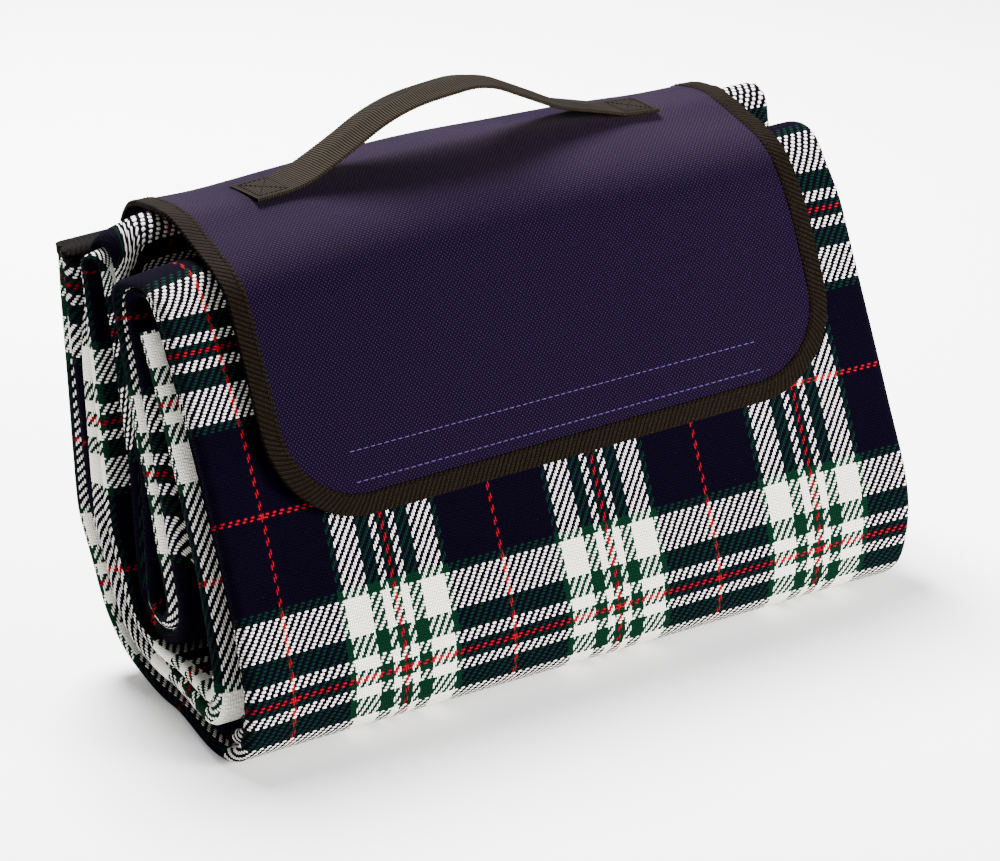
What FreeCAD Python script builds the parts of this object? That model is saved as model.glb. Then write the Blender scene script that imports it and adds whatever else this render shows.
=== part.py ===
import FreeCAD, Part
import Sketcher
import math
import os
from FreeCAD import Placement, Rotation, Vector

# A picnic blanket folded into a pack that stands on its long edge, with a carrying flap and handle.
# +X runs along the pack, +Y to its back, +Z up.  While it is built, y = 0 is the front foot, and
# the origin moves to the middle of the footprint at the end.

doc = FreeCAD.newDocument("camp_blanket")
sheet = doc.addObject("Spreadsheet::Sheet", "Sizes")

SIZES = {
    # the folded sheet
    "pack_length": 375.0,
    "tartan_thick": 1.2,
    "foam_thick": 1.4,
    "backing_thick": 0.3,
    "ply_gap": 0.2,
    "hem_width": 10.0,
    "hem_thick": 0.3,
    "side_hem_setback": 1.0,
    # the flap that wraps over the top and down the front
    "flap_width": 312.0,
    "flap_middle": 2.0,
    "flap_corner": 48.0,
    "lining_thick": 0.5,
    "outer_thick": 0.7,
    "binding_width": 10.0,
    "binding_thick": 0.6,
    "binding_stitch_inset": 8.0,
    "thread_thick": 0.4,
    "rear_hem_height": 14.0,
    "crest_run": 32.0,
    "crest_gap": 0.4,
    # the hook and loop fastener under the flap's front edge
    "fastener_length": 236.0,
    "fastener_width": 20.0,
    "fastener_corner": 2.0,
    "fastener_rise": 24.0,
    "fastener_row_spacing": 15.0,
    "hook_thick": 1.3,
    "loop_thick": 1.5,
    "loop_thread_thick": 0.2,
    # the webbing handle
    "webbing_width": 25.0,
    "webbing_thick": 1.6,
    "handle_middle": 112.5,
    "handle_reach": 112.0,
    "handle_foot": 88.0,
    "handle_shoulder": 46.0,
    "handle_rise": 23.0,
    "handle_split": 62.0,
    "handle_gap": 0.4,
    "box_stitch_length": 15.0,
    "box_stitch_margin": 2.5,
    "box_stitch_width": 20.0,
}
for row, (alias, value) in enumerate(SIZES.items(), start=1):
    sheet.set("A%d" % row, alias)
    sheet.set("B%d" % row, str(value))
    sheet.setAlias("B%d" % row, alias)
doc.recompute()


def size(alias):
    return float(getattr(sheet, alias))


# ---------------------------------------------------------------- routes
# Each route is a list of corners (y, z) and the bend radius at each.

# Middle of the folded pack: from its cut edge at the back's top, down the back, along the floor,
# up the front, over the front bump, down and up inside, over the top bulge, down, under and up.
FOLD_ROUTE = [
    ((145.5, 203.0), 0.0),
    ((134.0, 58.0), 40.0),
    ((108.0, 6.1), 26.0),
    ((-4.0, 6.1), 14.0),
    ((-2.5, 34.0), 40.0),
    ((76.0, 204.0), 13.0),
    ((102.5, 204.0), 12.5),
    ((50.0, 34.0), 14.0),
    ((84.0, 34.0), 14.0),
    ((121.0, 218.0), 6.4),
    ((134.0, 218.0), 6.4),
    ((116.0, 58.0), 30.0),
    ((94.0, 19.5), 20.0),
    ((10.0, 19.5), 9.0),
    ((12.5, 36.0), 30.0),
    ((80.0, 180.0), 0.0),
]
FRONT_FACE = (4, 5)

# Inner face of the flap, from the top of its rear hem over the crest and down the front.
FLAP_TOP = 225.0
FLAP_ROUTE = [
    ((152.6, 205.0), 0.0),
    ((149.0, FLAP_TOP), 12.0),
    ((104.0, FLAP_TOP), 30.0),
    ((59.0, 202.5), 30.0),
    ((15.5, 95.0), 0.0),
]
CREST_CORNER = 2
REACH = 400.0


def unit(start, end):
    length = math.hypot(end[0] - start[0], end[1] - start[1])
    return ((end[0] - start[0]) / length, (end[1] - start[1]) / length)


def tilt_from_z(direction):
    """Turn about X that carries +Z onto a direction (y, z)."""
    return Rotation(Vector(1, 0, 0), math.degrees(math.atan2(-direction[0], direction[1])))


def tilt_from_y(direction):
    """Turn about X that carries +Y onto a direction (y, z)."""
    return Rotation(Vector(1, 0, 0), math.degrees(math.atan2(direction[1], direction[0])))


def offset_corners(route, offset):
    """Corners of the route moved sideways by offset, positive to the left of travel."""
    points = [point for point, radius in route]
    last = len(points) - 1
    moved = []
    for index, point in enumerate(points):
        before = unit(points[max(index, 1) - 1], points[max(index, 1)])
        after = unit(points[min(index, last - 1)], points[min(index, last - 1) + 1])
        normal = (-before[1] - after[1], before[0] + after[0])
        scale = 2.0 * offset / (normal[0] ** 2 + normal[1] ** 2)
        moved.append((point[0] + normal[0] * scale, point[1] + normal[1] * scale))
    return moved


def route_edges(route, offset, to_space):
    """Straight runs and tangent arcs of the route at this offset."""
    corners = offset_corners(route, offset)
    edges = []
    last = corners[0]
    for index in range(1, len(corners) - 1):
        corner = corners[index]
        before = unit(corners[index - 1], corner)
        after = unit(corner, corners[index + 1])
        turn = math.atan2(before[0] * after[1] - before[1] * after[0],
                          before[0] * after[0] + before[1] * after[1])
        radius = route[index][1] - math.copysign(1.0, turn) * offset
        run = radius * math.tan(abs(turn) / 2.0)
        enter = (corner[0] - before[0] * run, corner[1] - before[1] * run)
        leave = (corner[0] + after[0] * run, corner[1] + after[1] * run)
        inward = unit(before, after)
        depth = radius / math.cos(turn / 2.0) - radius
        crown = (corner[0] + inward[0] * depth, corner[1] + inward[1] * depth)
        edges.append(Part.LineSegment(to_space(last), to_space(enter)).toShape())
        edges.append(Part.Arc(to_space(enter), to_space(crown), to_space(leave)).toShape())
        last = leave
    edges.append(Part.LineSegment(to_space(last), to_space(corners[-1])).toShape())
    return edges


def band(route, low, high, start, end, across="X"):
    """The layer between two offsets of a route, reaching from start to end across it."""
    if across == "X":
        sweep = Vector(end - start, 0, 0)
    else:
        sweep = Vector(0, end - start, 0)

    def to_space(point):
        return Vector(start, point[0], point[1]) if across == "X" else Vector(point[0], start, point[1])

    near = route_edges(route, low, to_space)
    far = route_edges(route, high, to_space)
    first = Part.LineSegment(to_space(offset_corners(route, low)[0]),
                             to_space(offset_corners(route, high)[0])).toShape()
    final = Part.LineSegment(to_space(offset_corners(route, low)[-1]),
                             to_space(offset_corners(route, high)[-1])).toShape()
    outline = Part.Wire(near + [final] + far[::-1] + [first])
    return Part.Face(outline).extrude(sweep)


def box(low, high):
    return Part.makeBox(high[0] - low[0], high[1] - low[1], high[2] - low[2], Vector(*low))


def fuse_all(solids):
    joined = solids[0]
    for solid in solids[1:]:
        joined = joined.fuse(solid)
    return joined.removeSplitter()


subparts = []


def keep_shape(node, shape):
    feature = doc.addObject("Part::Feature", node)
    feature.Label = node
    feature.Shape = shape
    subparts.append(feature)


# ---------------------------------------------------------------- the folded sheet
# The sheet is folded over from both sides to its middle, then in half: four plies.  Plies 1 and 2,
# and plies 3 and 4, meet in folds at the left end; plies 1 and 4 meet round the others at the right.

PLIES = 4
half_length = size("pack_length") / 2.0
ply_thick = size("tartan_thick") + size("foam_thick") + size("backing_thick")
ply_pitch = ply_thick + size("ply_gap")
half_pack = 2.0 * ply_thick + 1.5 * size("ply_gap")
inner_right = half_length - ply_thick - size("side_hem_setback")
hem = size("hem_thick")


def ply_span(ply):
    """Low and high offset of a ply, counted from the outside of the pack."""
    high = half_pack - ply * ply_pitch
    return high - ply_thick, high


def folded_layer(depth, thick):
    """One material of the sheet, depth below its tartan face, along the whole route."""
    left = -half_length + depth
    right = half_length - depth
    runs = []
    for ply in range(PLIES):
        low, high = ply_span(ply)
        end = right if ply in (0, PLIES - 1) else inner_right
        if ply % 2 == 0:
            runs.append(band(FOLD_ROUTE, high - depth - thick, high - depth, left, end))
        else:
            runs.append(band(FOLD_ROUTE, low + depth, low + depth + thick, left, end))
    for ply in (0, 2):
        low = ply_span(ply + 1)[0] + depth
        high = ply_span(ply)[1] - depth
        runs.append(band(FOLD_ROUTE, low, high, left, left + thick))
    runs.append(band(FOLD_ROUTE, depth - half_pack, half_pack - depth, right - thick, right))
    return fuse_all(runs)


def end_zone(corner, neighbour, depth, lift):
    """The stretch of the pack from lift to depth below one cut end of the route."""
    along = unit(FOLD_ROUTE[neighbour][0], FOLD_ROUTE[corner][0])
    side = half_pack + size("ply_gap") / 2.0
    zone = box((-half_length, -side, -depth), (half_length, side, -lift))
    zone.Placement = Placement(Vector(0, *FOLD_ROUTE[corner][0]), tilt_from_z(along))
    return zone


def end_hem(corner, neighbour):
    """Tape folded over the cut edge of every ply at one end of the route."""
    whole = end_zone(corner, neighbour, size("hem_width"), 0.0)
    core = end_zone(corner, neighbour, size("hem_width") + hem, hem)
    left = -half_length + ply_thick + hem
    strips = []
    for ply in range(PLIES):
        low, high = ply_span(ply)
        strip = band(FOLD_ROUTE, low, high, left, inner_right - size("hem_width")).common(whole)
        inside = band(FOLD_ROUTE, low + hem, high - hem, left, inner_right).common(core)
        strips.append(strip.cut(inside))
    return strips


def side_hem():
    """Tape folded over the two long cut edges, which meet inside the fold at the right end."""
    strips = []
    for ply in (1, 2):
        low, high = ply_span(ply)
        strip = band(FOLD_ROUTE, low, high, inner_right - size("hem_width"), inner_right)
        inside = band(FOLD_ROUTE, low + hem, high - hem, inner_right - 2.0 * size("hem_width"), inner_right - hem)
        strips.append(strip.cut(inside))
    return strips


side_strips = side_hem()
final_corner = len(FOLD_ROUTE) - 1
end_strips = end_hem(0, 1) + end_hem(final_corner, final_corner - 1)
all_hems = Part.makeCompound(side_strips + end_strips)
LAYERS = {
    "tartan_cloth": (0.0, size("tartan_thick")),
    "foam_interlayer": (size("tartan_thick"), size("foam_thick")),
    "waterproof_backing": (size("tartan_thick") + size("foam_thick"), size("backing_thick")),
}
for node, (depth, thick) in LAYERS.items():
    keep_shape(node, folded_layer(depth, thick).cut(all_hems))
keep_shape("side_hem_binding", Part.makeCompound(side_strips))
keep_shape("end_hem_binding", Part.makeCompound(end_strips))

# ---------------------------------------------------------------- the flap

panel_foot = FLAP_ROUTE[-1][0]
panel_up = unit(panel_foot, FLAP_ROUTE[-2][0])
flap_left = size("flap_middle") - size("flap_width") / 2.0
flap_right = size("flap_middle") + size("flap_width") / 2.0
cloth_thick = size("lining_thick") + size("outer_thick")
binding = size("binding_thick")
thread = size("thread_thick")


def outline_prism(inset):
    """Everything within the flap's outline, drawn inset from its edge, seen square to the front."""
    radius = size("flap_corner") - inset
    near = radius * (1.0 - math.sqrt(0.5))
    left = flap_left + inset
    right = flap_right - inset

    def at(across, up):
        return Vector(across, -REACH, up)

    edges = [
        Part.LineSegment(at(left, REACH), at(left, inset + radius)).toShape(),
        Part.Arc(at(left, inset + radius), at(left + near, inset + near), at(left + radius, inset)).toShape(),
        Part.LineSegment(at(left + radius, inset), at(right - radius, inset)).toShape(),
        Part.Arc(at(right - radius, inset), at(right - near, inset + near), at(right, inset + radius)).toShape(),
        Part.LineSegment(at(right, inset + radius), at(right, REACH)).toShape(),
        Part.LineSegment(at(right, REACH), at(left, REACH)).toShape(),
    ]
    prism = Part.Face(Part.Wire(edges)).extrude(Vector(0, 2.0 * REACH, 0))
    prism.Placement = Placement(Vector(0, *panel_foot), tilt_from_z(panel_up))
    return prism


# The crest line, where the front of the flap bends up when its fastener is peeled.
crest_corner = FLAP_ROUTE[CREST_CORNER][0]
crest_along = unit(crest_corner, FLAP_ROUTE[CREST_CORNER + 1][0])
crest_point = [crest_corner[axis] + crest_along[axis] * size("crest_run") for axis in (0, 1)]


def beside_crest(front):
    """Half of space before or behind the crest line, less half of the clearance."""
    gap = size("crest_gap") / 2.0
    near, far = (gap, REACH) if front else (-REACH, -gap)
    half = box((-REACH, near, -REACH), (REACH, far, REACH))
    half.Placement = Placement(Vector(0, *crest_point), tilt_from_y(crest_along))
    return half


def flap_band(low, high):
    """A layer of the flap between two heights above its inner face."""
    return band(FLAP_ROUTE, -high, -low, flap_left, flap_right)


cloth_outline = outline_prism(binding)
cloth_body = flap_band(0.0, cloth_thick).common(cloth_outline)
binding_ring = flap_band(-binding, cloth_thick + binding).common(outline_prism(0.0))
stitch_layer = flap_band(cloth_thick + binding, cloth_thick + binding + thread)
flap_pieces = {
    "flap_lining": flap_band(0.0, size("lining_thick")).common(cloth_outline),
    "flap_outer": flap_band(size("lining_thick"), cloth_thick).common(cloth_outline),
    "flap_binding": binding_ring.cut(cloth_body).cut(outline_prism(size("binding_width"))),
    "binding_stitching": stitch_layer.common(outline_prism(size("binding_stitch_inset"))).cut(
        outline_prism(size("binding_stitch_inset") + thread)),
}
for piece, shape in flap_pieces.items():
    keep_shape(piece + "_top", shape.common(beside_crest(False)))
    keep_shape(piece + "_front", shape.common(beside_crest(True)))

# The rear hem is the flap's folded edge, sewn flat against the back of the pack.
back_top = FOLD_ROUTE[0][0]
back_up = unit(FOLD_ROUTE[1][0], back_top)
hem_face = half_pack + 0.1
hem_out = hem_face + 2.0 * cloth_thick
HEM_DROP = 1.0
ROW_INSET = 3.0


def on_back(near, far, low, high):
    """A strip on the pack's back: heights off its middle, and drops below its top edge."""
    strip = box((flap_left, near, -high), (flap_right, far, -low))
    strip.Placement = Placement(Vector(0, *back_top), tilt_from_z(back_up))
    return strip


keep_shape("flap_rear_hem", on_back(hem_face, hem_out, HEM_DROP, HEM_DROP + size("rear_hem_height")))
seam_drops = (HEM_DROP + ROW_INSET, HEM_DROP + size("rear_hem_height") - ROW_INSET)
keep_shape("flap_seam_stitching", Part.makeCompound(
    [on_back(hem_out, hem_out + thread, drop, drop + thread) for drop in seam_drops]))

# ---------------------------------------------------------------- hook and loop fastener


def origin_plane(body, role):
    return [plane for plane in body.Origin.OriginFeatures if plane.Role == role][0]


def tape_body(node, thickness_alias, placement):
    """A strip of fastener tape with rounded corners, flat in its own XY plane."""
    body = doc.addObject("PartDesign::Body", node)
    body.Label = node
    sketch = body.newObject("Sketcher::SketchObject", node + "_outline")
    sketch.AttachmentSupport = [(origin_plane(body, "XY_Plane"), "")]
    sketch.MapMode = "FlatFace"
    wide = size("fastener_length") / 2.0
    tall = size("fastener_width") / 2.0
    corners = [Vector(-wide, -tall, 0), Vector(wide, -tall, 0), Vector(wide, tall, 0), Vector(-wide, tall, 0)]
    for index in range(4):
        sketch.addGeometry(Part.LineSegment(corners[index], corners[(index + 1) % 4]), False)
    for index in range(4):
        sketch.addConstraint(Sketcher.Constraint("Coincident", index, 2, (index + 1) % 4, 1))
    for index in (0, 2):
        sketch.addConstraint(Sketcher.Constraint("Horizontal", index))
        sketch.addConstraint(Sketcher.Constraint("Vertical", index + 1))
    sketch.addConstraint(Sketcher.Constraint("Symmetric", 0, 1, 1, 2, -1, 1))
    length = sketch.addConstraint(Sketcher.Constraint("DistanceX", 0, 1, 0, 2, 2.0 * wide))
    sketch.setExpression("Constraints[%d]" % length, "Sizes.fastener_length")
    width = sketch.addConstraint(Sketcher.Constraint("DistanceY", 1, 1, 1, 2, 2.0 * tall))
    sketch.setExpression("Constraints[%d]" % width, "Sizes.fastener_width")
    pad = body.newObject("PartDesign::Pad", node + "_pad")
    pad.Profile = sketch
    pad.setExpression("Length", "Sizes." + thickness_alias)
    doc.recompute()
    upright = ["Edge%d" % number for number, edge in enumerate(pad.Shape.Edges, start=1)
               if abs(edge.tangentAt(edge.FirstParameter).z) > 0.99]
    rounding = body.newObject("PartDesign::Fillet", node + "_corners")
    rounding.Base = (pad, upright)
    rounding.setExpression("Radius", "Sizes.fastener_corner")
    body.Placement = placement
    doc.recompute()
    subparts.append(body)


face_foot, face_top = [FOLD_ROUTE[corner][0] for corner in FRONT_FACE]
face_up = unit(face_foot, face_top)
face_out = (-face_up[1], face_up[0])
panel_out = (-panel_up[1], panel_up[0])
tape_middle = [panel_foot[axis] + panel_up[axis] * size("fastener_rise") for axis in (0, 1)]
hook_base = [tape_middle[axis] - panel_out[axis] * size("hook_thick") for axis in (0, 1)]
climb = sum((tape_middle[axis] - face_foot[axis]) * face_up[axis] for axis in (0, 1))
loop_base = [face_foot[axis] + face_up[axis] * climb + face_out[axis] * half_pack for axis in (0, 1)]
hook_place = Placement(Vector(size("flap_middle"), *hook_base), tilt_from_y(panel_up))
loop_place = Placement(Vector(size("flap_middle"), *loop_base), tilt_from_y(face_up))
tape_body("hook_tape", "hook_thick", hook_place)
tape_body("loop_tape", "loop_thick", loop_place)

half_tape = size("fastener_length") / 2.0
half_rows = size("fastener_row_spacing") / 2.0
ROW_MARGIN = 3.0
hook_rows = []
for rise in (-half_rows, half_rows):
    stitch_row = box((ROW_MARGIN - half_tape, rise, size("hook_thick") + cloth_thick),
                     (half_tape - ROW_MARGIN, rise + thread, size("hook_thick") + cloth_thick + thread))
    stitch_row.Placement = hook_place
    hook_rows.append(stitch_row)
keep_shape("hook_tape_stitching", Part.makeCompound(hook_rows))

loop_low = size("loop_thick")
loop_high = loop_low + size("loop_thread_thick")
outer_row = box((ROW_MARGIN - half_tape, -half_rows, loop_low), (half_tape - ROW_MARGIN, half_rows, loop_high))
inner_row = box((ROW_MARGIN - half_tape + thread, thread - half_rows, loop_low),
                (half_tape - ROW_MARGIN - thread, half_rows - thread, loop_high))
loop_ring = outer_row.cut(inner_row)
loop_ring.Placement = loop_place
keep_shape("loop_tape_stitching", loop_ring)

# ---------------------------------------------------------------- the webbing handle

strap_base = FLAP_TOP + cloth_thick + size("webbing_thick") / 2.0
strap_crown = strap_base + size("handle_rise")
HANDLE_ROUTE = [
    ((-size("handle_reach"), strap_base), 0.0),
    ((-size("handle_foot"), strap_base), 20.0),
    ((-size("handle_shoulder"), strap_crown), 80.0),
    ((size("handle_shoulder"), strap_crown), 80.0),
    ((size("handle_foot"), strap_base), 20.0),
    ((size("handle_reach"), strap_base), 0.0),
]
strap_front = size("handle_middle") - size("webbing_width") / 2.0
strap_back = size("handle_middle") + size("webbing_width") / 2.0
strap = band(HANDLE_ROUTE, -size("webbing_thick") / 2.0, size("webbing_thick") / 2.0,
             strap_front, strap_back, across="Y")
SPANS = {
    "handle_end_left": (-REACH, -size("handle_split") - size("handle_gap") / 2.0),
    "handle_strap": (size("handle_gap") / 2.0 - size("handle_split"),
                     size("handle_split") - size("handle_gap") / 2.0),
    "handle_end_right": (size("handle_split") + size("handle_gap") / 2.0, REACH),
}
for node, (start, end) in SPANS.items():
    keep_shape(node, strap.common(box((start, -REACH, -REACH), (end, REACH, REACH))))


def box_stitch(middle):
    """A sewn rectangle with crossed diagonals on one end of the handle."""
    half_long = size("box_stitch_length") / 2.0
    half_wide = size("box_stitch_width") / 2.0
    base = strap_base + size("webbing_thick") / 2.0
    outside = box((-half_long, -half_wide, 0), (half_long, half_wide, thread))
    inside = box((thread - half_long, thread - half_wide, 0), (half_long - thread, half_wide - thread, thread))
    rows = [outside.cut(inside)]
    slope = math.degrees(math.atan2(half_wide, half_long))
    reach = math.hypot(half_long, half_wide) - thread
    for turn in (slope, -slope):
        diagonal = box((-reach, -thread / 2.0, 0), (reach, thread / 2.0, thread))
        diagonal.Placement = Placement(Vector(0, 0, 0), Rotation(Vector(0, 0, 1), turn))
        rows.append(diagonal)
    stitch = fuse_all(rows)
    stitch.translate(Vector(middle, size("handle_middle"), base))
    return stitch


patch_middle = size("handle_reach") - size("box_stitch_margin") - size("box_stitch_length") / 2.0
keep_shape("handle_stitching_left", box_stitch(-patch_middle))
keep_shape("handle_stitching_right", box_stitch(patch_middle))

# ---------------------------------------------------------------- origin, checks and files

doc.recompute()
bounds = FreeCAD.BoundBox()
for subpart in subparts:
    bounds.add(subpart.Shape.BoundBox)
to_origin = Placement(Vector(-bounds.Center.x, -bounds.Center.y, -bounds.ZMin), Rotation())
for subpart in subparts:
    subpart.Placement = to_origin.multiply(subpart.Placement)
doc.recompute()

for item in doc.Objects:
    if "Invalid" in item.State or "Error" in item.State:
        raise RuntimeError("%s did not compute: %s" % (item.Label, item.State))
os.makedirs("parts", exist_ok=True)
for subpart in subparts:
    shape = subpart.Shape
    if shape.isNull() or not shape.isValid() or not shape.Solids:
        raise RuntimeError("%s has no valid solid" % subpart.Label)
    shape.exportStep("parts/%s.step" % subpart.Label)
    print("%-26s solids %2d  volume %10.1f" % (subpart.Label, len(shape.Solids), shape.Volume))
print("moved by", to_origin.Base, "box", bounds)
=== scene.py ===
import math

import bpy
import numpy as np
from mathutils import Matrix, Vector


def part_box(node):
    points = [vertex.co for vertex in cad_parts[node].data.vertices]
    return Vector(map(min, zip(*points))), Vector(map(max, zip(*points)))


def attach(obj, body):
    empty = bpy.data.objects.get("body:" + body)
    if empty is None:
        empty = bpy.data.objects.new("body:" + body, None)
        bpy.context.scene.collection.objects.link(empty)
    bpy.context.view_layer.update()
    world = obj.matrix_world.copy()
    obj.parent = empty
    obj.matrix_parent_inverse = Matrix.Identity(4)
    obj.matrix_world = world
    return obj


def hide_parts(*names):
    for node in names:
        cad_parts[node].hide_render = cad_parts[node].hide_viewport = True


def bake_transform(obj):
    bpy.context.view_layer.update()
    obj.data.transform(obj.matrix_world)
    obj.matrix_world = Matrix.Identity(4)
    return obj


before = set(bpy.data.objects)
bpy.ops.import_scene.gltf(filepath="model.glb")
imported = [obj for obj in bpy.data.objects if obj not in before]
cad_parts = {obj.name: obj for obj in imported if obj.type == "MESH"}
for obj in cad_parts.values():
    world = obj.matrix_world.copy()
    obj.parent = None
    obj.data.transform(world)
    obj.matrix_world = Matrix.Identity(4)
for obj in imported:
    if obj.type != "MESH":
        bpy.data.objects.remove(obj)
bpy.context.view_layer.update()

# A tartan picnic blanket folded into a pack, with a carrying flap and a webbing handle.
# Metres throughout.  Routes are drawn in millimetres, as (y, z) from the pack's front foot.

MM = 0.001
CLOTH_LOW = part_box("tartan_cloth")[0]
CLOTH_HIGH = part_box("tartan_cloth")[1]
# The routes' y is counted from this far behind the front of the cloth.
FOOT_IN = 9.3 * MM
FOOT_Y = CLOTH_LOW[1] + FOOT_IN
HALF_LENGTH = (CLOTH_HIGH[0] - CLOTH_LOW[0]) / 2.0

# ---------------------------------------------------------------- routes

# Middle of the folded pack, with the bend radius at each corner, as the cloth runs from its cut
# edge at the back's top to its other end inside the front.
FOLD_ROUTE = [
    ((145.5, 203.0), 0.0),
    ((134.0, 58.0), 40.0),
    ((108.0, 6.1), 26.0),
    ((-4.0, 6.1), 14.0),
    ((-2.5, 34.0), 40.0),
    ((76.0, 204.0), 13.0),
    ((102.5, 204.0), 12.5),
    ((50.0, 34.0), 14.0),
    ((84.0, 34.0), 14.0),
    ((121.0, 218.0), 6.4),
    ((134.0, 218.0), 6.4),
    ((116.0, 58.0), 30.0),
    ((94.0, 19.5), 20.0),
    ((10.0, 19.5), 9.0),
    ((12.5, 36.0), 30.0),
    ((80.0, 180.0), 0.0),
]
# Inner face of the flap, from its rear edge over the crest and down the front.
FLAP_TOP = 225.0
FLAP_ROUTE = [
    ((152.6, 205.0), 0.0),
    ((149.0, FLAP_TOP), 12.0),
    ((104.0, FLAP_TOP), 30.0),
    ((59.0, 202.5), 30.0),
    ((15.5, 95.0), 0.0),
]


def unit(vector):
    return vector / np.linalg.norm(vector)


class Route:
    """A smooth line through rounded corners, with its length, points and left-hand normals."""

    def __init__(self, corners, softness, step=0.5 * MM):
        points = [np.array(point) * MM for point, radius in corners]
        line = [points[0]]
        for index in range(1, len(points) - 1):
            before = unit(points[index] - points[index - 1])
            after = unit(points[index + 1] - points[index])
            turn = math.atan2(before[0] * after[1] - before[1] * after[0], before @ after)
            radius = corners[index][1] * MM
            run = radius * math.tan(abs(turn) / 2.0)
            enter = points[index] - before * run
            side = np.array([-before[1], before[0]]) * math.copysign(1.0, turn)
            centre = enter + side * radius
            for part in np.linspace(0.0, 1.0, max(4, int(abs(turn) * radius / step))):
                angle = turn * part
                spoke = enter - centre
                line.append(centre + np.array([spoke[0] * math.cos(angle) - spoke[1] * math.sin(angle),
                                               spoke[0] * math.sin(angle) + spoke[1] * math.cos(angle)]))
        line.append(points[-1])
        line = np.array(line)
        along = np.concatenate([[0.0], np.cumsum(np.linalg.norm(np.diff(line, axis=0), axis=1))])
        count = int(along[-1] / step) + 1
        even = np.linspace(0.0, along[-1], count)
        line = np.stack([np.interp(even, along, line[:, axis]) for axis in (0, 1)], axis=1)
        if softness > 0.0:
            reach = int(3.0 * softness / step)
            weights = np.exp(-0.5 * (np.arange(-reach, reach + 1) * step / softness) ** 2)
            weights /= weights.sum()
            lead = line[0] + (line[0] - line[1]) * np.arange(reach, 0, -1)[:, None]
            tail = line[-1] + (line[-1] - line[-2]) * np.arange(1, reach + 1)[:, None]
            padded = np.concatenate([lead, line, tail])
            line = np.stack([np.convolve(padded[:, axis], weights, mode="valid") for axis in (0, 1)], axis=1)
        self.line = line
        self.along = np.concatenate([[0.0], np.cumsum(np.linalg.norm(np.diff(line, axis=0), axis=1))])
        self.length = self.along[-1]
        heading = np.gradient(line, axis=0)
        heading /= np.linalg.norm(heading, axis=1)[:, None]
        self.normal = np.stack([-heading[:, 1], heading[:, 0]], axis=1)
        self.heading = heading

    def at(self, distance):
        """Points and normals at these distances along the route, run straight on past its ends."""
        inside = np.clip(distance, 0.0, self.length)
        over = np.asarray(distance) - inside
        found = [np.interp(inside, self.along, values[:, axis])
                 for values in (self.line, self.normal, self.heading) for axis in (0, 1)]
        y, z, normal_y, normal_z, head_y, head_z = found
        return y + over * head_y, z + over * head_z, normal_y, normal_z

    def nearest(self, point):
        """Distance along the route of the place nearest a point."""
        return self.along[np.argmin(np.linalg.norm(self.line - np.array(point) * MM, axis=1))]


fold = Route(FOLD_ROUTE, 2.5 * MM)
flap = Route(FLAP_ROUTE, 4.0 * MM)


def smooth(low, high, value):
    """0 before low and 1 past high, with an even rise between; low may be the greater."""
    part = np.clip((value - low) / (high - low), 0.0, 1.0)
    return part * part * (3.0 - 2.0 * part)


def ripple(seed, a, b, scale):
    """A soft, repeatable wave pattern over two coordinates, between about -1 and 1."""
    total = np.zeros(np.broadcast(a, b).shape)
    for term in range(5):
        angle = seed * 1.7 + term * 2.4
        stretch = (0.7 + 0.35 * term) / scale
        wave = (np.asarray(a) * math.cos(angle) + np.asarray(b) * math.sin(angle)) * stretch * 2.0 * math.pi
        total = total + np.sin(wave + seed * 3.1 + term * 1.9) / (1.0 + 0.5 * term)
    return total / 2.6


def settle(points):
    """The pack's own sag.  Its top sinks, most of all at the left, and its right end swells.  The front
    foot runs forward, and the heel of its left end lifts off the floor.  Depths are in millimetres."""
    x, y, z = points[..., 0], points[..., 1], points[..., 2]
    upper = smooth(0.13, 0.225, z)
    crown = smooth(0.192, 0.222, z)
    rear_layer = smooth(0.060, 0.070, y) * (1.0 - crown)
    droop = 11.0 * smooth(0.03, -0.17, x) ** 1.3 * upper * (1.0 - 0.9 * rear_layer)
    pressed = 2.0 + 1.5 * (1.0 - smooth(0.115, 0.165, np.abs(x))) + 3.0 * smooth(0.08, 0.16, x)
    sink = pressed * crown * smooth(-0.005, 0.03, y) + 2.0 * crown * smooth(0.045, 0.072, y)
    corner = 10.0 * smooth(-0.150, -0.190, x) * smooth(0.19, 0.222, z)
    front_top = smooth(0.17, 0.205, z) * (1.0 - smooth(0.03, 0.05, y))
    swell = 8.0 * smooth(0.05, 0.187, x) * smooth(0.005, 0.06, z) * (1.0 - 0.55 * front_top)
    foot = 12.0 * (1.0 - smooth(0.0, 0.085, z)) * smooth(-0.015, -0.060, y)
    heel = 15.0 * smooth(-0.120, -0.186, x) * smooth(-0.015, 0.055, y) * (1.0 - smooth(0.03, 0.13, z))
    out = points.copy()
    out[..., 0] = x + (swell - 0.675 * foot) * MM
    out[..., 1] = y - foot * MM
    out[..., 2] = z + (heel - droop - sink - corner) * MM
    return out


def to_space(x, y, z):
    x, y, z = np.broadcast_arrays(x, y, z)
    return settle(np.stack([x, y + FOOT_Y, z], axis=-1))


# ---------------------------------------------------------------- mesh helpers


def add_mesh(name, verts, faces, material, cloth=None):
    """A smooth piece; cloth gives each point's place on the flat cloth, for the material."""
    mesh = bpy.data.meshes.new(name)
    mesh.from_pydata([tuple(v) for v in verts], [], [tuple(f) for f in faces])
    mesh.materials.append(material)
    if cloth is not None:
        layer = mesh.attributes.new("cloth", "FLOAT_VECTOR", "POINT")
        layer.data.foreach_set("vector", np.asarray(cloth, dtype=np.float32).ravel())
    mesh.polygons.foreach_set("use_smooth", [True] * len(mesh.polygons))
    mesh.update()
    piece = bpy.data.objects.new(name, mesh)
    bpy.context.scene.collection.objects.link(piece)
    return piece


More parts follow.
